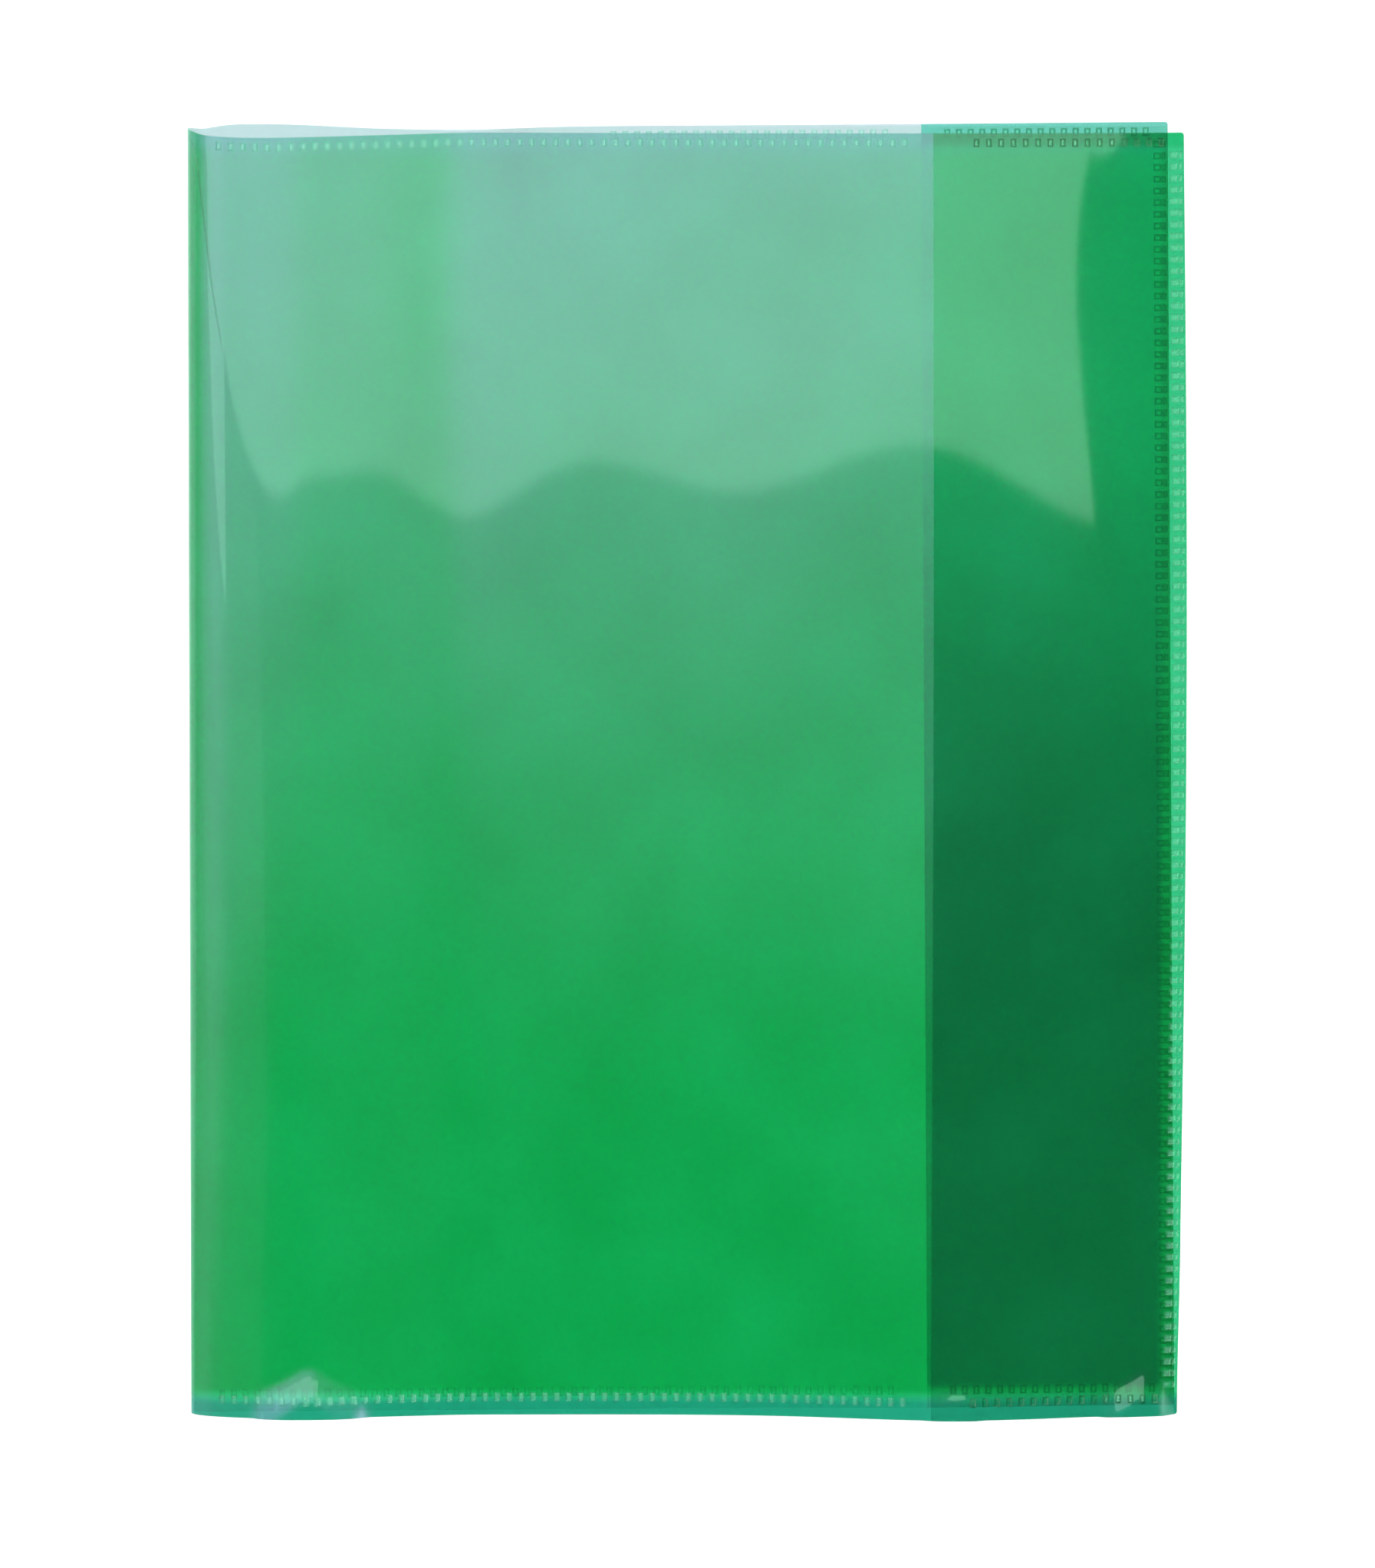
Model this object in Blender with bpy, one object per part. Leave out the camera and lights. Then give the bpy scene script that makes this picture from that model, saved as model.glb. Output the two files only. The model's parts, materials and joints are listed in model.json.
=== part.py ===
"""Slip-on film cover for a thin exercise book, lying closed on its back leaf.

Two leaves of one film are joined by a soft roll along the spine. Each leaf carries a strip of the
same film inside its fore-edge, welded on at head, foot and fore-edge, which makes a pocket that is
open towards the spine. The spine is at -X, the head at +Y, and the front leaf lies on top.
"""

from math import asin, cos, pi, sin
from typing import NamedTuple

import bmesh
import bpy
from mathutils import Matrix, Vector

MM = 0.001

# Driving dimensions.
LEAF_WIDTH = 175.0 * MM  # spine fold to the front leaf's fore-edge
LEAF_HEIGHT = 232.0 * MM  # foot to head
FILM = 0.15 * MM  # thickness of the cover film and of the pocket strips
POCKET_WIDTH = 44.0 * MM
CORNER_RADIUS = 0.5 * MM  # at both fore-edge corners of each leaf


class Leaf(NamedTuple):
    name: str
    skew: float  # lean against the fold, in radians
    shortfall: float  # how much narrower than LEAF_WIDTH it is at its foot


# The fold is a little askew, so the leaves don't quite cover each other.
FRONT = Leaf("front", 0.0, 0.0)
BACK = Leaf("back", 0.0078, 1.0 * MM)

# Heights, measured from the ground. The front leaf mirrors the back leaf about the hinge line.
HINGE_HEIGHT = 0.75 * MM
PANEL_MID = FILM / 2
WELD_BOTTOM = 0.20 * MM
WELD_TOP = 0.30 * MM
POCKET_MID = 0.35 * MM + FILM / 2

# The roll along the spine, and the hollow arch that the front leaf makes beside it.
ROLL_WIDTH = 3.2 * MM  # from the hinge line to where the back panel lies flat
ROLL_GAP = 0.1 * MM  # between the roll and the back panel
HINGE_GAP = 0.35 * MM  # from the hinge line up to the front panel
ARCH_HEIGHT = 8.4 * MM
ARCH_PEAK = 13.0 * MM  # distance of the crown from the spine
ARCH_END = 42.0 * MM  # where the front panel comes to rest on the back panel

# Welds: a rail with a tooth for each mark of the welding wheel.
WELD_PITCH = 2.1 * MM
TOOTH_WIDTH = 1.1 * MM
TOOTH_LENGTH = 1.6 * MM
RAIL_WIDTH = 0.3 * MM
HEAD_MARGIN = 1.7 * MM  # leaf edge to the middle of the teeth
FOOT_MARGIN = 3.2 * MM
FORE_MARGIN = 1.7 * MM
MOUTH_MARGIN = 2.6 * MM  # pocket mouth to the first tooth

# The origin is the middle of the whole object's footprint.
SPINE_X = -LEAF_WIDTH / 2
HEAD_RISE = BACK.skew * (LEAF_WIDTH - CORNER_RADIUS)
FOOT_Y = -(LEAF_HEIGHT + HEAD_RISE) / 2

ARC_STEPS = 4
ROLL_STEPS = 8
ARCH_RISE_STEPS = 10
ARCH_FALL_STEPS = 12

COVER_GREEN = (0.055, 0.46, 0.20, 1.0)
POCKET_GREEN = (0.045, 0.42, 0.17, 1.0)
WELD_GREEN = (0.12, 0.55, 0.32, 1.0)


def clear_scene():
    for obj in list(bpy.data.objects):
        bpy.data.objects.remove(obj, do_unlink=True)


def plastic(name, colour, roughness):
    material = bpy.data.materials.new(name)
    material.use_nodes = True
    shader = material.node_tree.nodes["Principled BSDF"]
    shader.inputs["Base Color"].default_value = colour
    shader.inputs["Roughness"].default_value = roughness
    shader.inputs["Metallic"].default_value = 0.0
    return material


def placed(leaf, u, v, z):
    """Where a point of a leaf lies: u from the spine, v from the foot, z above the ground."""
    width = LEAF_WIDTH - leaf.shortfall - leaf.skew * v
    return Vector((SPINE_X + u * width / LEAF_WIDTH, FOOT_Y + v + leaf.skew * u, z))


def mirrored(z):
    """The height in the front leaf that matches height z in the back leaf."""
    return 2 * HINGE_HEIGHT - z


def new_object(name, bm, material):
    mesh = bpy.data.meshes.new(name)
    bmesh.ops.recalc_face_normals(bm, faces=bm.faces)
    bm.to_mesh(mesh)
    bm.free()
    mesh.materials.append(material)
    obj = bpy.data.objects.new(name, mesh)
    bpy.context.scene.collection.objects.link(obj)
    return obj


def corner_arc(u, v, start):
    """Points round a corner of CORNER_RADIUS about (u, v), from angle start through a quarter turn."""
    angles = [start + pi / 2 * i / ARC_STEPS for i in range(ARC_STEPS + 1)]
    return [(u + CORNER_RADIUS * cos(a), v + CORNER_RADIUS * sin(a)) for a in angles]


def film(name, leaf, profile, material, rounded=True):
    """A sheet of film that follows profile, a list of (u, z), and runs from foot to head."""
    bm = bmesh.new()
    feet = [bm.verts.new(placed(leaf, u, 0, z)) for u, z in profile[:-1]]
    heads = [bm.verts.new(placed(leaf, u, LEAF_HEIGHT, z)) for u, z in profile[:-1]]
    for i in range(len(feet) - 1):
        bm.faces.new((feet[i], feet[i + 1], heads[i + 1], heads[i]))
    edge, z = profile[-1]
    if rounded:
        inner = edge - CORNER_RADIUS
        fore = corner_arc(inner, CORNER_RADIUS, -pi / 2)
        fore += corner_arc(inner, LEAF_HEIGHT - CORNER_RADIUS, 0)
    else:
        fore = [(edge, 0), (edge, LEAF_HEIGHT)]
    rim = [bm.verts.new(placed(leaf, u, v, z)) for u, v in fore]
    bm.faces.new([feet[-1]] + rim + [heads[-1]])
    obj = new_object(name, bm, material)
    thicken = obj.modifiers.new("film thickness", "SOLIDIFY")
    thicken.thickness = FILM
    thicken.offset = 0
    thicken.use_even_offset = True
    return obj


def weld(name, leaf, start, end, outward, height, material):
    """A weld seam from start to end, points (u, v) on the teeth's middle line.

    outward is the direction of the leaf's edge, where the rail runs. The teeth point inwards.
    """
    start, end, outward = Vector(start), Vector(end), Vector(outward)
    run = end - start
    count = round(run.length / WELD_PITCH)
    step = run / count
    along = run.normalized()
    back = outward * (TOOTH_LENGTH / 2)
    rail = back - outward * RAIL_WIDTH
    outline = [end + back, start + back, start + rail]
    for i in range(count):
        middle = start + step * (i + 0.5)
        low = middle - along * (TOOTH_WIDTH / 2)
        high = middle + along * (TOOTH_WIDTH / 2)
        outline += [low + rail, low - back, high - back, high + rail]
    outline.append(end + rail)
    bm = bmesh.new()
    face = bm.faces.new([bm.verts.new(placed(leaf, p.x, p.y, height)) for p in outline])
    raised = bmesh.ops.extrude_face_region(bm, geom=[face])["geom"]
    lift = Matrix.Translation((0, 0, WELD_TOP - WELD_BOTTOM))
    bmesh.ops.transform(bm, matrix=lift, verts=[e for e in raised if isinstance(e, bmesh.types.BMVert)])
    return new_object(name, bm, material)


def weld_set(leaf, height, material):
    """The three seams that hold one pocket: head, foot and fore-edge."""
    mouth = LEAF_WIDTH - POCKET_WIDTH + MOUTH_MARGIN
    fore = LEAF_WIDTH - FORE_MARGIN
    head = LEAF_HEIGHT - HEAD_MARGIN
    foot = FOOT_MARGIN
    inner = fore - TOOTH_LENGTH
    low = foot + TOOTH_LENGTH
    high = head - TOOTH_LENGTH
    weld(leaf.name + "_head_weld", leaf, (mouth, head), (inner, head), (0, 1), height, material)
    weld(leaf.name + "_foot_weld", leaf, (mouth, foot), (inner, foot), (0, -1), height, material)
    weld(leaf.name + "_fore_edge_weld", leaf, (fore, low), (fore, high), (1, 0), height, material)


def pocket(leaf, height, material):
    mouth = LEAF_WIDTH - POCKET_WIDTH
    film(leaf.name + "_pocket", leaf, [(mouth, height), (LEAF_WIDTH, height)], material)


def quarter_ellipse(width, rise, first, steps):
    """Points (u, z) from the hinge line's side, where the curve is upright, to where it is level."""
    turns = [first + (pi / 2 - first) * i / steps for i in range(steps + 1)]
    return [(FILM / 2 + width * (1 - cos(t)), HINGE_HEIGHT + rise * sin(t)) for t in turns]


def roll_profile():
    """The roll: from the hinge line down to where the back panel begins."""
    width = ROLL_WIDTH - ROLL_GAP - FILM / 2
    return quarter_ellipse(width, PANEL_MID - HINGE_HEIGHT, 0, ROLL_STEPS)


def arch_profile():
    """The front panel: a steep rise off the spine, an eased fall, then flat to the fore-edge."""
    flat = mirrored(PANEL_MID)
    crown = ARCH_HEIGHT - FILM / 2
    rise = crown - HINGE_HEIGHT
    fall = crown - flat
    points = quarter_ellipse(ARCH_PEAK - FILM / 2, rise, asin(HINGE_GAP / rise), ARCH_RISE_STEPS)
    for i in range(1, ARCH_FALL_STEPS + 1):
        share = i / ARCH_FALL_STEPS
        u = ARCH_PEAK + (ARCH_END - ARCH_PEAK) * share
        points.append((u, flat + fall * (1 + cos(pi * share)) / 2))
    points.append((LEAF_WIDTH, flat))
    return points


def main():
    clear_scene()
    cover = plastic("cover film", COVER_GREEN, 0.16)
    strip = plastic("pocket film", POCKET_GREEN, 0.18)
    seam = plastic("weld", WELD_GREEN, 0.3)

    film("back_panel", BACK, [(ROLL_WIDTH, PANEL_MID), (LEAF_WIDTH, PANEL_MID)], cover)
    film("spine_roll", FRONT, roll_profile(), cover, rounded=False)
    pocket(BACK, POCKET_MID, strip)
    weld_set(BACK, WELD_BOTTOM, seam)

    film("front_panel", FRONT, arch_profile(), cover)
    pocket(FRONT, mirrored(POCKET_MID), strip)
    weld_set(FRONT, mirrored(WELD_TOP), seam)


main()
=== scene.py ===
"""The looks of a slip-on book cover of translucent film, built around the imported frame.

Lengths are in millimetres until raised() turns them into the frame's metres. On each leaf, u runs
from the spine to the fore-edge and v from the foot to the head.
"""

import json
from math import cos, pi, radians, sin
from typing import Callable, NamedTuple

import bpy
import numpy as np
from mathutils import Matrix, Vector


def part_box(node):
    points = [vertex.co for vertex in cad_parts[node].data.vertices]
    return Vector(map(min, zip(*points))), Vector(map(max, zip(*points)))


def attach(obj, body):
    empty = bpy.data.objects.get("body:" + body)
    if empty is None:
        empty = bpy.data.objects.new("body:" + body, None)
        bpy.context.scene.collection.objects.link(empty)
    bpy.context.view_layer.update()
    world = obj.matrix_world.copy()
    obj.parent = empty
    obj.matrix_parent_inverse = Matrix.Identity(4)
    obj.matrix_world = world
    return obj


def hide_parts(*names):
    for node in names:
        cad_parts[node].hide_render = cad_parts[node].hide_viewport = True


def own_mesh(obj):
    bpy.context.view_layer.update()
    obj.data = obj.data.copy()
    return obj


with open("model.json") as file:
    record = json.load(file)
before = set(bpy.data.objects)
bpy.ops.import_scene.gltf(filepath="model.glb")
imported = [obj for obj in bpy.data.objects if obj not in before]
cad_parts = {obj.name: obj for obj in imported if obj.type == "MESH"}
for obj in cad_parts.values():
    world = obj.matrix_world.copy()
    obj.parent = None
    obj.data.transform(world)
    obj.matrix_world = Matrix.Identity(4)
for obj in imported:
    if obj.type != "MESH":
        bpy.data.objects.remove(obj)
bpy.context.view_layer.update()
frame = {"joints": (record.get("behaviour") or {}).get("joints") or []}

MM = 0.001

# Places and sizes from the frame.
HINGE = [value / MM for value in frame["joints"][0]["pos_m"]]
FRONT_LOW, FRONT_HIGH = [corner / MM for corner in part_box("front_panel")]
BACK_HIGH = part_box("back_panel")[1] / MM
POCKET_LOW, POCKET_HIGH = [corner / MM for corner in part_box("front_pocket")]
ROLL_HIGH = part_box("spine_roll")[1] / MM
SPINE_X = HINGE[0]
HINGE_Z = HINGE[2]
FOOT_Y = FRONT_LOW.y
WIDTH = FRONT_HIGH.x - SPINE_X
HEIGHT = FRONT_HIGH.y - FOOT_Y
POCKET_WIDTH = POCKET_HIGH.x - POCKET_LOW.x
ROLL_WIDTH = ROLL_HIGH.x - SPINE_X
MOUTH = WIDTH - POCKET_WIDTH

# The film and its edges.
FILM = 0.15
CORNER_RADIUS = 0.5
FILM_START = FILM / 2  # the film stands upright on the hinge line
PANEL_MID = FILM / 2

# The hollow arch of the front leaf beside the spine. Its widths are distances from the spine.
ARCH_CROWN = 12.0  # where it is highest, at the head
ARCH_CROWN_FOOT = 18.0  # the same, towards the foot, where the arch is wider
ARCH_FALL = 12.6  # where its slope down to the level part begins
ARCH_FALL_FOOT = 18.6  # the same, at the foot
ARCH_END = 52.5
ARCH_BEND = 8.0  # length of the soft bend at either end of the slope
CROWN_HEIGHT = 7.0
LEVEL_HEIGHT = 2.8  # of the front leaf past the arch

# Welds and embossing: rows of small raised marks. Margins run from the leaf's edge to a row's middle.
PITCH = 2.1
HEAD_MARGIN = 1.7
FOOT_MARGIN = 3.2
FORE_MARGIN = 1.9
OUTER_MARGIN = 0.75  # to the second, finer row at the fore-edge
ROW_INSET = 1.0  # how far a head or foot row ends before the fore-edge's row
COLUMN_INSET = 1.2  # how far the fore-edge's row ends before the head and foot rows
EMBOSS_START = 4.5  # where the longest rows of embossing start beside the spine
ROW_HALF_WIDTH = 0.55  # of one mark in the head and foot rows
ROW_HALF_HEIGHT = 0.8
FORE_HALF_WIDTH = 0.7
OUTER_HALF_WIDTH = 0.4
COLUMN_HALF_HEIGHT = 0.62
MARK_RISE = 0.08
MARK_BEVEL = 0.32
MARK_SINK = 0.02  # how far a mark's base reaches into the film
POCKET_GAP = 0.22  # from the middle of the leaf's film to the middle of the pocket's


def fade(x, start, end):
    """A share that runs smoothly from 0 at start to 1 at end, and stays level beyond them."""
    t = np.clip((x - start) / (end - start), 0.0, 1.0)
    return t * t * (3 - 2 * t)


def mix(low, high, share):
    return low + (high - low) * share


def soft_start(distance, bend):
    """Level before 0, then a bend of that length into a straight slope."""
    bent = np.clip(distance, 0, bend)
    return bent * bent / 2 + bend * np.clip(distance - bend, 0, None)


def ramp(x, start, end, bend):
    """A straight ramp from 0 at start to 1 at end, with a soft bend of that length at either end."""
    climb = soft_start(x - start, bend) - soft_start(x - end + bend, bend)
    return climb / (bend * (end - start - bend))


def bump(x, centre, spread):
    return np.exp(-(((x - centre) / spread) ** 2))


def smooth_line(x, points):
    """A smooth line through points (x, y), level before the first and after the last."""
    value = np.full_like(x, points[0][1])
    for (x0, y0), (x1, y1) in zip(points, points[1:]):
        value = value + (y1 - y0) * fade(x, x0, x1)
    return value


# ---- The shape of each leaf -------------------------------------------------------------------

# How much the front leaf's film tilts towards head or foot at each u: gentle waves.
WAVES = [
    (30, 0.0),
    (46, -0.0085),
    (71, 0.0030),
    (97, -0.0030),
    (128, 0.0065),
    (163, -0.0090),
    (175, -0.011),
]
WAVE_MIDDLE = 165.0  # the v where the tilt is as in WAVES
WAVE_LENGTH = 24.0

# Puckers along the foot of the front leaf: (middle u, reach to the spine, reach to the fore-edge,
# how far it rises along v).
PUCKERS = [(20.7, 10.5, 11.0, 5.6), (136.5, 6.5, 4.0, 2.0), (171.0, 11.0, 2.6, 5.8)]
PUCKER_FOOT = 4.4  # where the puckers' edge lies at their ends
PUCKER_SLOPE = 0.183


def pucker_lift(u, v):
    """How far the puckers hold the front leaf's film up: a straight slope down to each one's edge."""
    lift = np.zeros_like(u)
    for middle_u, before, after, rise in PUCKERS:
        reach = np.where(u < middle_u, before, after)
        top = np.clip(1 - np.abs(u - middle_u) / reach, 0, 1)
        edge = PUCKER_FOOT + rise * top**1.35
        lift = lift + PUCKER_SLOPE * np.clip(edge - v, 0, rise + 1.0) * (top > 0) * fade(top, 0.0, 0.25)
    return lift


def arch_height(u, v):
    """Height of the front leaf's arch, from the hinge line over the crown down to the level part."""
    near_head = fade(v, 120, HEIGHT)
    near_foot = fade(v, 90, 0)
    crown = CROWN_HEIGHT + 0.2 * fade(v, 208, HEIGHT) - 1.9 * near_foot
    level = LEVEL_HEIGHT + 0.2 * near_head - 0.7 * near_foot
    shoulder = mix(ARCH_CROWN_FOOT, ARCH_CROWN, fade(v, 90, HEIGHT))
    rise = np.clip((u - FILM_START) / (shoulder - FILM_START), 0, 1)
    up = HINGE_Z + (crown - HINGE_Z) * np.sqrt(1 - (1 - rise) ** 2)
    start = mix(ARCH_FALL, ARCH_FALL_FOOT, near_foot)
    return up - (crown - level) * ramp(u, start, ARCH_END - near_foot, ARCH_BEND)


def front_height(u, v):
    """Height of the front leaf's film: an arch off the spine, then a nearly flat, wavy sheet."""
    wave = smooth_line(u, WAVES) * WAVE_LENGTH * np.sin((v - WAVE_MIDDLE) / WAVE_LENGTH)
    foot_hump = 1.7 * bump(u, 136, 24) * fade(v, 60, 0)
    head_corner = 0.28 * fade(u, 158, 175) * fade(v, 220, HEIGHT)
    head_swell = 0.5 * fade(u, 60, 120) * fade(v, 196, HEIGHT)
    fore_fall = -0.00135 * np.clip(u - 150, 0, None) ** 2
    unevenness = wave + foot_hump + head_corner + head_swell + fore_fall
    return arch_height(u, v) + fade(u, 20, 45) * unevenness + pucker_lift(u, v)


def back_height(u, v):
    """Height of the back leaf's film: a roll down from the hinge line, then a sheet on the ground."""
    rise = np.clip((u - FILM_START) / (ROLL_WIDTH - FILM_START), 0, 1)
    roll = HINGE_Z + (PANEL_MID - HINGE_Z) * np.sqrt(1 - (1 - rise) ** 2)
    head_hump = 2.1 * bump(u, 49, 13) * fade(v, 130, HEIGHT)
    foot_hump = 0.9 * bump(u, 131, 22) * fade(v, 45, 0)
    ripple = 0.12 * (1 + np.sin(u / 17 + 0.6) * np.sin(v / 31)) * fade(u, 12, 42)
    return roll + head_hump + foot_hump + ripple


def fold_drift(u, v):
    """How far the film along the fold reaches out past the head."""
    return 0.36 * fade(v, 190, HEIGHT) * fade(u, 3, 0)


def front_drift(u, v):
    """How far the front leaf's film is out of square: (towards the fore-edge, towards the head)."""
    bow = 0.8 * np.sin(pi * np.clip((v - 35) / (HEIGHT - 35), 0, 1))
    tuck = 0.55 * fade(v, 35, 0)
    belly = 0.75 * bump(u, 134, 26) * fade(v, 40, 0)
    return (bow - tuck) * fade(u, 110, 175), fold_drift(u, v) - belly


def back_drift(u, v):
    """The same for the back leaf, whose head bulges out beside the fold."""
    bulge = 0.83 * fade(u, 1, 9) * fade(u, 37, 13) * fade(v, 190, HEIGHT)
    return np.zeros_like(u), fold_drift(u, v) + bulge


class Leaf(NamedTuple):
    name: str
    body: str
    skew: float  # lean against the fold, in radians
    shortfall: float  # how much narrower than WIDTH it is at its foot
    height: Callable
    drift: Callable
    inward: int  # the way from its film to its pocket, along the film's normal


BACK_SKEW = (BACK_HIGH.y - FRONT_HIGH.y) / (WIDTH - CORNER_RADIUS)
BACK_SHORTFALL = FRONT_HIGH.x - BACK_HIGH.x
FRONT = Leaf("front", "front_leaf", 0.0, 0.0, front_height, front_drift, -1)
BACK = Leaf("back", "back_leaf", BACK_SKEW, BACK_SHORTFALL, back_height, back_drift, 1)


def middle(leaf, u, v):
    """Points in the middle of a leaf's film."""
    dx, dy = leaf.drift(u, v)
    x = SPINE_X + u * (WIDTH - leaf.shortfall - leaf.skew * v) / WIDTH + dx
    y = FOOT_Y + v + leaf.skew * u + dy
    return np.stack([x, y, leaf.height(u, v)], axis=-1)


def normal(leaf, u, v):
    step = 0.05
    along_u = middle(leaf, u + step, v) - middle(leaf, u - step, v)
    along_v = middle(leaf, u, v + step) - middle(leaf, u, v - step)
    across = np.cross(along_u, along_v)
    return across / np.linalg.norm(across, axis=-1, keepdims=True)


def raised(leaf, u, v, offset):
    """Points at a distance from the middle of a leaf's film, in metres."""
    u, v = np.broadcast_arrays(np.asarray(u, float), np.asarray(v, float))
    offset = np.broadcast_to(np.asarray(offset, float), u.shape)
    return (middle(leaf, u, v) + normal(leaf, u, v) * offset[..., None]) * MM


# ---- Meshes -----------------------------------------------------------------------------------


def stretches(start, *runs):
    """Numbers from start through each (end, step), spaced about step apart."""
    values = [start]
    for end, step in runs:
        count = max(1, round((end - values[-1]) / step))
        values += list(np.linspace(values[-1], end, count + 1)[1:])
    return np.array(values)


COLUMN_RUNS = [(50.0, 1.5), (MOUTH, 2.0)]  # (end, step) of the columns across a leaf's film
EDGE_STEP = 2.0


def film_columns(start, curl_end):
    """Places across a film: close together where it curls up from start, and round the corners."""
    turns = np.linspace(0, pi / 2, 17)
    curl = start + (curl_end - start) * (1 - np.cos(turns))
    level = stretches(curl_end, *COLUMN_RUNS, (WIDTH - CORNER_RADIUS, EDGE_STEP))[1:]
    return np.concatenate([curl, level, corner_columns()])


def corner_columns():
    turns = np.linspace(0, pi / 2, 8)[1:]
    return WIDTH - CORNER_RADIUS * (1 - np.sin(turns))


def film_rows():
    rows = stretches(0.0, (14.0, 0.7), (40.0, 1.8), (190.0, 3.0), (218.0, 1.8), (HEIGHT, 0.9))
    return rows / HEIGHT


def film_grid(columns):
    """Places (u, v) over a film, with its rows pulled in at the rounded corners."""
    into = np.clip(columns - (WIDTH - CORNER_RADIUS), 0, CORNER_RADIUS)
    pull = CORNER_RADIUS - np.sqrt(CORNER_RADIUS**2 - into**2)
    shares = film_rows()
    v = pull[:, None] + (HEIGHT - 2 * pull[:, None]) * shares[None, :]
    return np.repeat(columns[:, None], len(shares), axis=1), v


def new_piece(name, vertices, faces, materials, indices, smooth=True):
    mesh = bpy.data.meshes.new(name)
    mesh.from_pydata(vertices, [], faces)
    for material in materials:
        mesh.materials.append(material)
    mesh.polygons.foreach_set("material_index", indices)
    if smooth:
        mesh.shade_smooth()
        mesh.set_sharp_from_angle(angle=radians(35))
    mesh.validate()
    piece = bpy.data.objects.new(name, mesh)
    bpy.context.scene.collection.objects.link(piece)
    return piece


def border(columns, rows):
    """The outer vertices of a grid, once round."""
    ring = [i * rows for i in range(columns)]
    ring += [(columns - 1) * rows + j for j in range(1, rows)]
    ring += [i * rows + rows - 1 for i in range(columns - 2, -1, -1)]
    ring += [j for j in range(rows - 2, 0, -1)]
    return ring


def shell(name, top, bottom, materials, zones=None):
    """A closed sheet between two grids of points. Its last material goes on the cut edge."""
    columns, rows = top.shape[:2]
    count = columns * rows
    vertices = np.concatenate([top.reshape(-1, 3), bottom.reshape(-1, 3)])
    faces, indices = [], []
    for i in range(columns - 1):
        zone = 0 if zones is None else zones[i]
        for j in range(rows - 1):
            a, b, c, d = i * rows + j, (i + 1) * rows + j, (i + 1) * rows + j + 1, i * rows + j + 1
            faces += [(a, b, c, d), (d + count, c + count, b + count, a + count)]
            indices += [zone, zone]
    ring = border(columns, rows)
    for a, b in zip(ring, ring[1:] + ring[:1]):
        faces.append((b, a, a + count, b + count))
        indices.append(len(materials) - 1)
    return new_piece(name, vertices.tolist(), faces, materials, indices)


def film(name, leaf, columns, materials):
    """A leaf's film. With three materials, the second goes on the part that the pocket backs."""
    u, v = film_grid(columns)
    zones = None
    if len(materials) > 2:
        zones = [int(u_start >= MOUTH) for u_start in columns[:-1]]
    top = raised(leaf, u, v, FILM / 2)
    bottom = raised(leaf, u, v, -FILM / 2)
    return shell(name, top, bottom, materials, zones)


def pocket_film(name, leaf, gape, materials):
    """A pocket's film, which stands away from its leaf by up to gape at the mouth."""
    level = stretches(MOUTH, (WIDTH - CORNER_RADIUS, EDGE_STEP))
    columns = np.concatenate([level, corner_columns()])
    u, v = film_grid(columns)
    slack = gape * fade(u, MOUTH + 14, MOUTH) * np.sin(pi * v / HEIGHT) ** 0.7
    gap = leaf.inward * (POCKET_GAP + slack)
    top = raised(leaf, u, v, gap + FILM / 2)
    bottom = raised(leaf, u, v, gap - FILM / 2)
    return shell(name, top, bottom, materials)


MARK_CORNERS = ((-1, -1), (1, -1), (1, 1), (-1, 1))
MARK_FACES = ((3, 2, 1, 0), (4, 5, 6, 7), (0, 1, 5, 4), (1, 2, 6, 5), (2, 3, 7, 6), (3, 0, 4, 7))


def marks(name, leaf, spots, surface, materials):
    """Low bevelled pads at spots (u, v, half width, half height), on a surface that far from the
    middle of the leaf's film. The materials are for their tops and their bevels.
    """
    vertices, faces, indices = [], [], []
    for u, v, half_u, half_v in spots:
        first = len(vertices)
        for inset, offset in ((0.0, surface - MARK_SINK), (MARK_BEVEL, surface + MARK_RISE)):
            corner_u = [u + s * (half_u - inset) for s, _ in MARK_CORNERS]
            corner_v = [v + s * (half_v - inset) for _, s in MARK_CORNERS]
            vertices += raised(leaf, corner_u, corner_v, offset).tolist()
        faces += [tuple(first + k for k in face) for face in MARK_FACES]
        indices += [0, 0, 1, 1, 1, 1]
    return new_piece(name, vertices, faces, materials, indices, smooth=False)


def even_places(start, end):
    """Even places from start to end, about one pitch apart."""
    count = round((end - start) / PITCH)
    step = (end - start) / count
    return [start + step * (i + 0.5) for i in range(count)]


def row_spots(start, end, v):
    return [(u, v, ROW_HALF_WIDTH, ROW_HALF_HEIGHT) for u in even_places(start, end)]


def column_spots(u, half_width, low, high):
    return [(u, v, half_width, COLUMN_HALF_HEIGHT) for v in even_places(low, high)]


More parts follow.
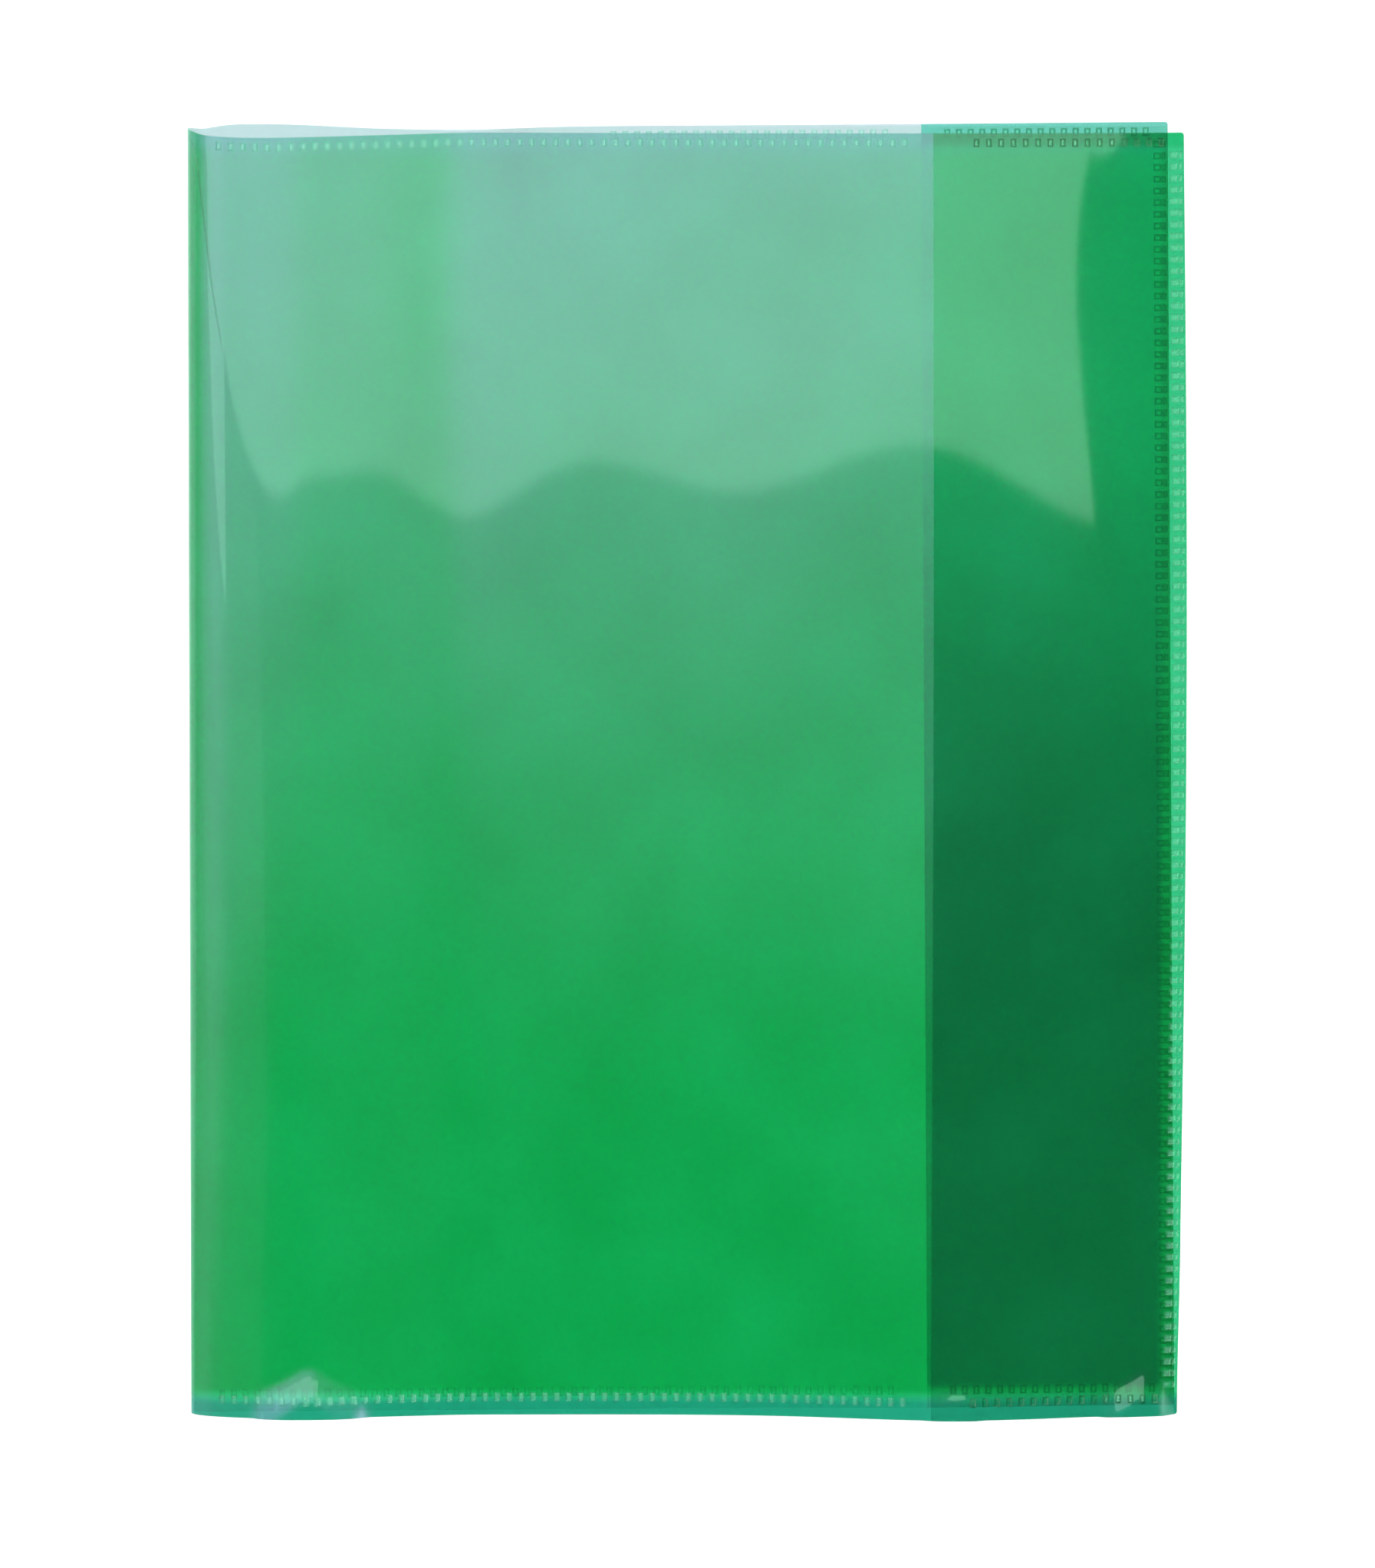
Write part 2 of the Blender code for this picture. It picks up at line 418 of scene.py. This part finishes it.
def ridge(name, leaf, points, width, rise, material):
    """A fine tapering ridge on top of a film, along a line through points (u, v)."""
    points = np.array(points, float)
    lengths = np.concatenate([[0], np.cumsum(np.linalg.norm(np.diff(points, axis=0), axis=1))])
    t = np.linspace(0, 1, 41)
    u = np.interp(t * lengths[-1], lengths, points[:, 0])
    v = np.interp(t * lengths[-1], lengths, points[:, 1])
    for _ in range(6):
        u[1:-1] = (u[:-2] + 2 * u[1:-1] + u[2:]) / 4
        v[1:-1] = (v[:-2] + 2 * v[1:-1] + v[2:]) / 4
    side_u, side_v = -np.gradient(v), np.gradient(u)
    length = np.hypot(side_u, side_v)
    half = width / 2 * np.sqrt(np.clip(np.sin(pi * np.clip(t, 0.01, 0.99)), 0, 1))
    across_u, across_v = side_u / length * half, side_v / length * half
    base = FILM / 2 - MARK_SINK
    left = raised(leaf, u + across_u, v + across_v, base)
    right = raised(leaf, u - across_u, v - across_v, base)
    crest = raised(leaf, u, v, FILM / 2 + rise)
    vertices = np.concatenate([left, right, crest]).tolist()
    n = len(t)
    faces = []
    for i in range(n - 1):
        faces += [(i, i + 1, 2 * n + i + 1, 2 * n + i), (2 * n + i, 2 * n + i + 1, n + i + 1, n + i)]
        faces.append((n + i, n + i + 1, i + 1, i))
    faces += [(0, 2 * n, n), (n - 1, 2 * n - 1, 3 * n - 1)]
    return new_piece(name, vertices, faces, [material], [0] * len(faces))


# ---- Materials --------------------------------------------------------------------------------


def new_tree(name):
    material = bpy.data.materials.new(name)
    material.use_nodes = True
    tree = material.node_tree
    tree.nodes.clear()
    return material, tree


def node(tree, kind, **settings):
    made = tree.nodes.new(kind)
    for key, value in settings.items():
        setattr(made, key, value)
    return made


def ranged(tree, value, old, new=(0.0, 1.0), smooth=False):
    """A value mapped from one range, (low, high), to another, and clamped to it."""
    mapped = node(tree, "ShaderNodeMapRange")
    if smooth:
        mapped.interpolation_type = "SMOOTHSTEP"
    mapped.inputs["From Min"].default_value = old[0]
    mapped.inputs["From Max"].default_value = old[1]
    mapped.inputs["To Min"].default_value = new[0]
    mapped.inputs["To Max"].default_value = new[1]
    tree.links.new(value, mapped.inputs["Value"])
    return mapped.outputs["Result"]


NOISE_RANGE = (0.3, 0.7)  # where nearly all of a noise texture's values lie


def noise(tree, places, scale, detail, low=0.0, high=1.0, stretch=(1, 1, 1)):
    """Noise over the object's own coordinates, mapped to run from low to high."""
    scaled = node(tree, "ShaderNodeMapping")
    scaled.inputs["Scale"].default_value = stretch
    tree.links.new(places.outputs["Object"], scaled.inputs["Vector"])
    grain = node(tree, "ShaderNodeTexNoise")
    grain.inputs["Scale"].default_value = scale
    grain.inputs["Detail"].default_value = detail
    tree.links.new(scaled.outputs["Vector"], grain.inputs["Vector"])
    return ranged(tree, grain.outputs["Fac"], NOISE_RANGE, (low, high))


def blended_colour(tree, share, first, second):
    """A colour that runs from first to second. first is a colour or a socket."""
    colour = node(tree, "ShaderNodeMix", data_type="RGBA")
    if isinstance(first, tuple):
        colour.inputs[6].default_value = (*first, 1)
    else:
        tree.links.new(first, colour.inputs[6])
    colour.inputs[7].default_value = (*second, 1)
    tree.links.new(share, colour.inputs[0])
    return colour.outputs[2]


def tinted(tree, tint, share):
    """A tint that drifts between a deeper and a paler version of itself."""
    return blended_colour(tree, share, tuple(c**1.06 for c in tint), tuple(c**0.94 for c in tint))


def along_leaf(tree, places, axis, start, end):
    """A share that runs from 0 at start to 1 at end, places along the axis."""
    split = node(tree, "ShaderNodeSeparateXYZ")
    tree.links.new(places.outputs["Object"], split.inputs[0])
    return ranged(tree, split.outputs[axis], (start * MM, end * MM), smooth=True)


GRAZING_MIRROR = 0.9


def mirror_share(tree, facing_share):
    """How much a face mirrors: a little when seen square on, and nearly all at a grazing angle."""
    weight = node(tree, "ShaderNodeLayerWeight")
    weight.inputs["Blend"].default_value = 0.5
    steep = node(tree, "ShaderNodeMath", operation="POWER")
    steep.inputs[1].default_value = 5.0
    tree.links.new(weight.outputs["Facing"], steep.inputs[0])
    share = node(tree, "ShaderNodeMath", operation="MULTIPLY_ADD", use_clamp=True)
    share.inputs[1].default_value = GRAZING_MIRROR
    share.inputs[2].default_value = facing_share
    tree.links.new(steep.outputs[0], share.inputs[0])
    return share.outputs[0]


def mixed(tree, factor, first, second):
    mixer = node(tree, "ShaderNodeMixShader")
    if isinstance(factor, float):
        mixer.inputs[0].default_value = factor
    else:
        tree.links.new(factor, mixer.inputs[0])
    tree.links.new(first, mixer.inputs[1])
    tree.links.new(second, mixer.inputs[2])
    return mixer.outputs[0]


VEIL_ROUGHNESS = 0.29
DENT_DEPTH = 0.0002  # metres
DENT_STRENGTH = 0.008
GREEN = (0.03, 0.42, 0.15)
HAZE = (0.09, 0.42, 0.35)
FROST_AND_HIGHLIGHT = (0.42, 0.86, 0.72)  # partly where a weld wheel has frosted the film, partly a painted highlight on the marks' tops


def see_through(tree, places, tint, margins):
    """Clear film of a tint with faint clouds, and with other tints at its margins."""
    cloud = noise(tree, places, scale=38.0, detail=3.0)
    through = tinted(tree, tint, cloud)
    for axis, start, end, edge_tint in margins:
        share = along_leaf(tree, places, axis, start, end)
        through = blended_colour(tree, share, through, edge_tint)
    clear = node(tree, "ShaderNodeBsdfTransparent")
    tree.links.new(through, clear.inputs["Color"])
    return clear.outputs[0]


def mirror_finish(tree, places):
    """A clean reflection, a little broken up by fine dents that are drawn out along the spine."""
    fine = noise(tree, places, scale=900.0, detail=2.0, low=0.036, high=0.046)
    streak = noise(tree, places, scale=120.0, detail=2.0, stretch=(1, 0.15, 1))
    dents = node(tree, "ShaderNodeBump")
    dents.inputs["Strength"].default_value = DENT_STRENGTH
    dents.inputs["Distance"].default_value = DENT_DEPTH
    tree.links.new(streak, dents.inputs["Height"])
    gloss = node(tree, "ShaderNodeBsdfGlossy", distribution="GGX")
    gloss.inputs["Color"].default_value = (1, 1, 1, 1)
    tree.links.new(fine, gloss.inputs["Roughness"])
    tree.links.new(dents.outputs["Normal"], gloss.inputs["Normal"])
    return gloss.outputs[0]


def hazy_finish(tree, sheen):
    """A wide, soft reflection."""
    veil = node(tree, "ShaderNodeBsdfGlossy", distribution="BECKMANN")
    veil.inputs["Color"].default_value = (*sheen, 1)
    veil.inputs["Roughness"].default_value = VEIL_ROUGHNESS
    return veil.outputs[0]


def film_plastic(name, tint, sharp, sheen, pigment=0.02, body=GREEN, margins=()):
    """Glossy tinted film. tint is what each face lets through, sharp how much it mirrors when seen
    square on, sheen the colour of a wide, hazy reflection, and pigment the share of it that body
    colours.

    margins are (axis, start, end, tint), places where the tint runs over into another one.
    """
    material, tree = new_tree(name)
    places = node(tree, "ShaderNodeTexCoord")
    filler = node(tree, "ShaderNodeBsdfDiffuse")
    filler.inputs["Color"].default_value = (*body, 1)
    filled = mixed(tree, pigment, see_through(tree, places, tint, margins), filler.outputs[0])
    glossy = mixed(tree, mirror_share(tree, sharp), filled, mirror_finish(tree, places))
    hazed = node(tree, "ShaderNodeAddShader")
    tree.links.new(glossy, hazed.inputs[0])
    tree.links.new(hazy_finish(tree, sheen), hazed.inputs[1])
    output = node(tree, "ShaderNodeOutputMaterial")
    tree.links.new(hazed.outputs[0], output.inputs["Surface"])
    return material


# ---- The object -------------------------------------------------------------------------------

# What each face of a film lets through, counting the light's way down and its way back up: besides the
# film's own colour, the tints hold painted shadow, the shade the film would cast on the floor below.
FACE_TINT = (0.216, 0.748, 0.490)
STRIP_TINT = (0.672, 0.767, 0.801)
# Painted light: the pocket film's paler tint towards the head stands in for the stronger studio light
# there.
PAINTED_LIGHT_STRIP_TINT = (0.66, 0.955, 0.96)
STRIP_RIM_TINT = (0.50, 0.87, 0.75)
STRIP_WELD_TINT = (0.80, 0.91, 0.88)
CLEAR_TINT = (0.85, 0.97, 0.95)
# Painted reflection: the back leaf's film turns pale at its head, standing in for the veil of studio
# light it reflects there.
HEAD_REFLECTION_TINT = (0.645, 0.75, 0.742)
# Painted shade: the front leaf's film is darker along its foot edge, where less light reaches.
FOOT_SHADE_TINT = (0.115, 0.555, 0.425)
MARK_TINT = (0.92, 0.99, 0.96)
# Painted shade: crisp marks' bevels are darker, standing in for the dark outlines they show where they
# mirror the dim studio.
SHADED_BEVEL_TINT = (0.30, 0.62, 0.44)
# Painted shade: the bevels of frosted marks, and the crease's ridge, are a little darker.
SOFT_SHADED_BEVEL_TINT = (0.62, 0.84, 0.74)
EDGE_TINT = (0.35, 0.72, 0.55)
BACK_EDGE_TINT = (0.90, 0.97, 0.95)

OPEN_SHEEN = (0.051, 0.006, 0.068)
BACKED_SHEEN = (0.006, 0.002, 0.006)
UNDER_SHEEN = (0.024, 0.013, 0.030)
STRIP_SHEEN = (0.006, 0.008, 0.020)
EDGE_SHEEN = (0.03, 0.03, 0.04)
DULL_SHEEN = (0.010, 0.010, 0.012)

# Where the tint changes along the leaves, as (axis, start, end, tint). Some of these changes are painted
# light and shade, as marked.
HEAD_Y = FOOT_Y + HEIGHT
# Painted shade: the front leaf's film darkens towards its foot edge.
COVER_FOOT_SHADE = ("Y", FOOT_Y + 4.5, FOOT_Y + 2.0, FOOT_SHADE_TINT)
# Painted reflection: the back leaf's film pales towards its head edge.
UNDER_HEAD_REFLECTION = ("Y", HEAD_Y - 6.0, HEAD_Y - 1.0, HEAD_REFLECTION_TINT)
UNDER_FOOT = ("Y", FOOT_Y + 4.5, FOOT_Y + 2.0, CLEAR_TINT)
# Painted light: the pocket film turns paler towards the head, where the light is stronger.
PAINTED_LIGHT_STRIP_HEAD = ("Y", FOOT_Y + 80.0, FOOT_Y + 190.0, PAINTED_LIGHT_STRIP_TINT)
STRIP_FOOT_WELD = ("Y", FOOT_Y + 5.8, FOOT_Y + 4.6, STRIP_WELD_TINT)
STRIP_FORE_WELD = ("X", SPINE_X + 170.5, SPINE_X + 172.2, STRIP_WELD_TINT)
STRIP_RIM = ("Y", HEAD_Y - 3.2, HEAD_Y - 1.8, STRIP_RIM_TINT)


def film_surfaces():
    open_film = film_plastic("cover film", FACE_TINT, 0.022, OPEN_SHEEN, margins=[COVER_FOOT_SHADE])
    backed = film_plastic("backed film", FACE_TINT, 0.026, BACKED_SHEEN, body=HAZE, margins=[COVER_FOOT_SHADE])
    under = film_plastic("under film", FACE_TINT, 0.015, UNDER_SHEEN, margins=[UNDER_HEAD_REFLECTION, UNDER_FOOT])
    strip_margins = [PAINTED_LIGHT_STRIP_HEAD, STRIP_FOOT_WELD, STRIP_FORE_WELD, STRIP_RIM]
    strip = film_plastic("pocket film", STRIP_TINT, 0.008, STRIP_SHEEN, margins=strip_margins)
    return {
        "open": open_film,
        "backed": backed,
        "under": under,
        "strip": strip,
        "edge": film_plastic("cut edge", EDGE_TINT, 0.04, EDGE_SHEEN, pigment=0.25),
        "back edge": film_plastic("back cut edge", BACK_EDGE_TINT, 0.01, DULL_SHEEN),
    }


def mark_surfaces():
    """Pairs of surfaces, for the tops and the bevels of marks that are crisp or frosted. The bevels'
    darker tints are painted shade, and the pale body on frosted tops is partly painted highlight.
    """
    mark = film_plastic("embossed mark", MARK_TINT, 0.012, DULL_SHEEN)
    bevel = film_plastic("embossed bevel painted shade", SHADED_BEVEL_TINT, 0.008, DULL_SHEEN)
    frosted_top_and_highlight = film_plastic("frosted mark with painted highlight", MARK_TINT, 0.012, DULL_SHEEN, pigment=0.10, body=FROST_AND_HIGHLIGHT)
    soft = film_plastic("frosted bevel painted shade", SOFT_SHADED_BEVEL_TINT, 0.012, DULL_SHEEN, pigment=0.04, body=FROST_AND_HIGHLIGHT)
    return [mark, bevel], [frosted_top_and_highlight, soft]


# The crease beside the fold at the head, as a line through points (u, v).
CREASE = [(0.2, 231.0), (1.5, 229.0), (2.0, 224.9), (3.4, 213.0), (4.5, 203.3), (6.1, 193.6)]
CREASE_WIDTH = 0.42
CREASE_RISE = 0.04
FRONT_POCKET_GAPE = 0.5
BACK_POCKET_GAPE = 0.7


def front_pieces(surfaces, crease_shade_surface):
    columns = film_columns(FILM_START, ARCH_CROWN)
    cover = film("front_film", FRONT, columns, [surfaces["open"], surfaces["backed"], surfaces["edge"]])
    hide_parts("front_panel")
    strip_surfaces = [surfaces["strip"], surfaces["edge"]]
    strip = pocket_film("front_pocket_film", FRONT, FRONT_POCKET_GAPE, strip_surfaces)
    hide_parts("front_pocket")
    # Painted shade: the crease's ridge takes the frosted bevel's darker tint.
    crease = ridge("front_crease", FRONT, CREASE, CREASE_WIDTH, CREASE_RISE, crease_shade_surface)
    return [cover, strip, crease]


def back_pieces(surfaces):
    columns = film_columns(FILM_START, ROLL_WIDTH)
    cover = film("back_film", BACK, columns, [surfaces["under"], surfaces["back edge"]])
    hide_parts("back_panel", "spine_roll")
    strip_surfaces = [surfaces["strip"], surfaces["back edge"]]
    strip = pocket_film("back_pocket_film", BACK, BACK_POCKET_GAPE, strip_surfaces)
    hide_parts("back_pocket")
    return [cover, strip]


def weld_pieces(leaf, surface, seam_start, emboss_start, emboss_end, seam_look, fore_look, emboss_look):
    """The weld marks on a leaf's pocket, and the embossing that carries its rows on to the spine."""
    head, foot, fore = HEIGHT - HEAD_MARGIN, FOOT_MARGIN, WIDTH - FORE_MARGIN
    head_spots = row_spots(seam_start, fore - ROW_INSET, head)
    foot_spots = row_spots(seam_start, fore - ROW_INSET, foot)
    low, high = foot + COLUMN_INSET, head - COLUMN_INSET
    fore_spots = column_spots(fore, FORE_HALF_WIDTH, low, high)
    fore_spots += column_spots(WIDTH - OUTER_MARGIN, OUTER_HALF_WIDTH, low, high)
    emboss_spots = row_spots(emboss_start, emboss_end, head)
    emboss_spots += row_spots(EMBOSS_START, emboss_end, foot)
    head_row = marks(leaf.name + "_head_marks", leaf, head_spots, surface, seam_look)
    foot_row = marks(leaf.name + "_foot_marks", leaf, foot_spots, surface, seam_look)
    fore_column = marks(leaf.name + "_fore_edge_marks", leaf, fore_spots, surface, fore_look)
    embossing = marks(leaf.name + "_embossing", leaf, emboss_spots, FILM / 2, emboss_look)
    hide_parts(leaf.name + "_head_weld")
    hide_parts(leaf.name + "_foot_weld")
    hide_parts(leaf.name + "_fore_edge_weld")
    pieces = [head_row, foot_row, fore_column, embossing]
    return pieces


def front_welds(crisp, frosted):
    return weld_pieces(
        FRONT,
        surface=FILM / 2,
        seam_start=137.5,
        emboss_start=EMBOSS_START,
        emboss_end=127.0,
        seam_look=crisp,
        fore_look=frosted,
        emboss_look=frosted,
    )


def back_welds(crisp, frosted):
    """The back leaf's marks, on top of its pocket. Its head embossing ends well before the spine."""
    return weld_pieces(
        BACK,
        surface=POCKET_GAP + FILM / 2,
        seam_start=134.6,
        emboss_start=75.0,
        emboss_end=125.6,
        seam_look=crisp,
        fore_look=crisp,
        emboss_look=frosted,
    )


def build_object():
    surfaces = film_surfaces()
    crisp, frosted = mark_surfaces()
    front = front_pieces(surfaces, frosted[1]) + front_welds(crisp, frosted)
    back = back_pieces(surfaces) + back_welds(crisp, frosted)
    for piece in front + back:
        # The tints already hold the light's way down and back up, as painted shadow in place of the
        # film's cast shadow, so the floor stays white below.
        piece.visible_shadow = False
        piece.visible_diffuse = False
    for piece in front:
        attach(piece, FRONT.body)
        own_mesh(piece)
    for piece in back:
        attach(piece, BACK.body)


# ---- Studio -----------------------------------------------------------------------------------

# From here on lengths are in metres.
CAMERA_TILT = radians(13)  # off straight down, from the head's side
CAMERA_LENS = 900.0  # long, so that the view is nearly parallel
CAMERA_DISTANCE = 6.911
CAMERA_TARGET = (0.00034, -0.0027)


def make_camera():
    data = bpy.data.cameras.new("camera")
    data.sensor_width = 36.0
    data.lens = CAMERA_LENS
    data.clip_start = 0.1
    data.clip_end = 50.0
    camera = bpy.data.objects.new("camera", data)
    x, y = CAMERA_TARGET
    back = CAMERA_DISTANCE * sin(CAMERA_TILT)
    camera.location = (x, y + back, CAMERA_DISTANCE * cos(CAMERA_TILT))
    camera.rotation_euler = (-CAMERA_TILT, 0, 0)
    bpy.context.scene.collection.objects.link(camera)
    bpy.context.scene.camera = camera


SOFTBOX_HEIGHT = 0.5
SOFTBOX_COLOUR = (0.88, 0.89, 1.0)

# Softboxes, as (name, low corner, high corner, radiance), with corners (x, y) in metres.
SOFTBOXES = [
    ("head softbox", (-2.5, -0.060), (0.100, 0.45), 3.3),
    ("corner softbox", (-2.5, -0.11), (-0.40, -0.060), 3.0),
    ("upper spine softbox", (-2.5, -0.15), (-0.16, -0.060), 0.5),
    ("lower spine softbox", (-2.5, -0.26), (-0.16, -0.15), 0.25),
]


def make_softbox(name, low, high, radiance):
    """A cool softbox, level over the object from corner low to high. It only shows in reflections."""
    data = bpy.data.lights.new(name, "AREA")
    data.shape = "RECTANGLE"
    data.size = high[0] - low[0]
    data.size_y = high[1] - low[1]
    data.energy = radiance * pi * data.size * data.size_y
    data.color = SOFTBOX_COLOUR
    light = bpy.data.objects.new(name, data)
    light.location = ((low[0] + high[0]) / 2, (low[1] + high[1]) / 2, SOFTBOX_HEIGHT)
    light.visible_camera = False
    light.visible_diffuse = False
    light.visible_transmission = False
    bpy.context.scene.collection.objects.link(light)


WORLD_STRENGTH = 4.3
SPINE_SIDE_DIM = 0.12  # the studio is dimmer on the side of the spine
SIDE_REACH = 0.7  # the dimming runs from this far on the fore-edge's side to as far on the spine's
DARK_CONE = (cos(radians(48)), cos(radians(30)))  # from overhead: light past 48 degrees, none in 30


def make_world():
    """A white studio all round that is dark overhead, so that level film shows its own colour."""
    world = bpy.data.worlds.new("studio")
    world.use_nodes = True
    tree = world.node_tree
    tree.nodes.clear()
    direction = node(tree, "ShaderNodeTexCoord")
    split = node(tree, "ShaderNodeSeparateXYZ")
    tree.links.new(direction.outputs["Generated"], split.inputs[0])
    overhead = ranged(tree, split.outputs["Z"], DARK_CONE, (WORLD_STRENGTH, 0.0), smooth=True)
    side_reach = (-SIDE_REACH, SIDE_REACH)
    side = ranged(tree, split.outputs["X"], side_reach, (SPINE_SIDE_DIM, 1.0), smooth=True)
    dimmed = node(tree, "ShaderNodeMath", operation="MULTIPLY")
    tree.links.new(overhead, dimmed.inputs[0])
    tree.links.new(side, dimmed.inputs[1])
    background = node(tree, "ShaderNodeBackground")
    background.inputs["Color"].default_value = (1, 1, 1, 1)
    tree.links.new(dimmed.outputs[0], background.inputs["Strength"])
    output = node(tree, "ShaderNodeOutputWorld")
    tree.links.new(background.outputs[0], output.inputs["Surface"])
    bpy.context.scene.world = world


FLOOR_SIZE = 8.0
FLOOR_DROP = 0.00005


def make_floor():
    half = FLOOR_SIZE / 2
    corners = [(-half, -half, 0), (half, -half, 0), (half, half, 0), (-half, half, 0)]
    material, tree = new_tree("floor")
    places = node(tree, "ShaderNodeTexCoord")
    grain = noise(tree, places, scale=60.0, detail=2.0, low=0.89, high=0.91)
    paper = node(tree, "ShaderNodeBsdfDiffuse")
    tree.links.new(grain, paper.inputs["Color"])
    output = node(tree, "ShaderNodeOutputMaterial")
    tree.links.new(paper.outputs[0], output.inputs["Surface"])
    floor = new_piece("floor", corners, [(0, 1, 2, 3)], [material], [0], smooth=False)
    floor.location.z = -FLOOR_DROP


def set_up_scene():
    scene = bpy.context.scene
    scene.view_settings.view_transform = "Standard"
    scene.cycles.transparent_max_bounces = 64
    scene.cycles.max_bounces = 24
    scene.cycles.glossy_bounces = 6


build_object()
make_camera()
for softbox in SOFTBOXES:
    make_softbox(*softbox)
make_world()
make_floor()
set_up_scene()
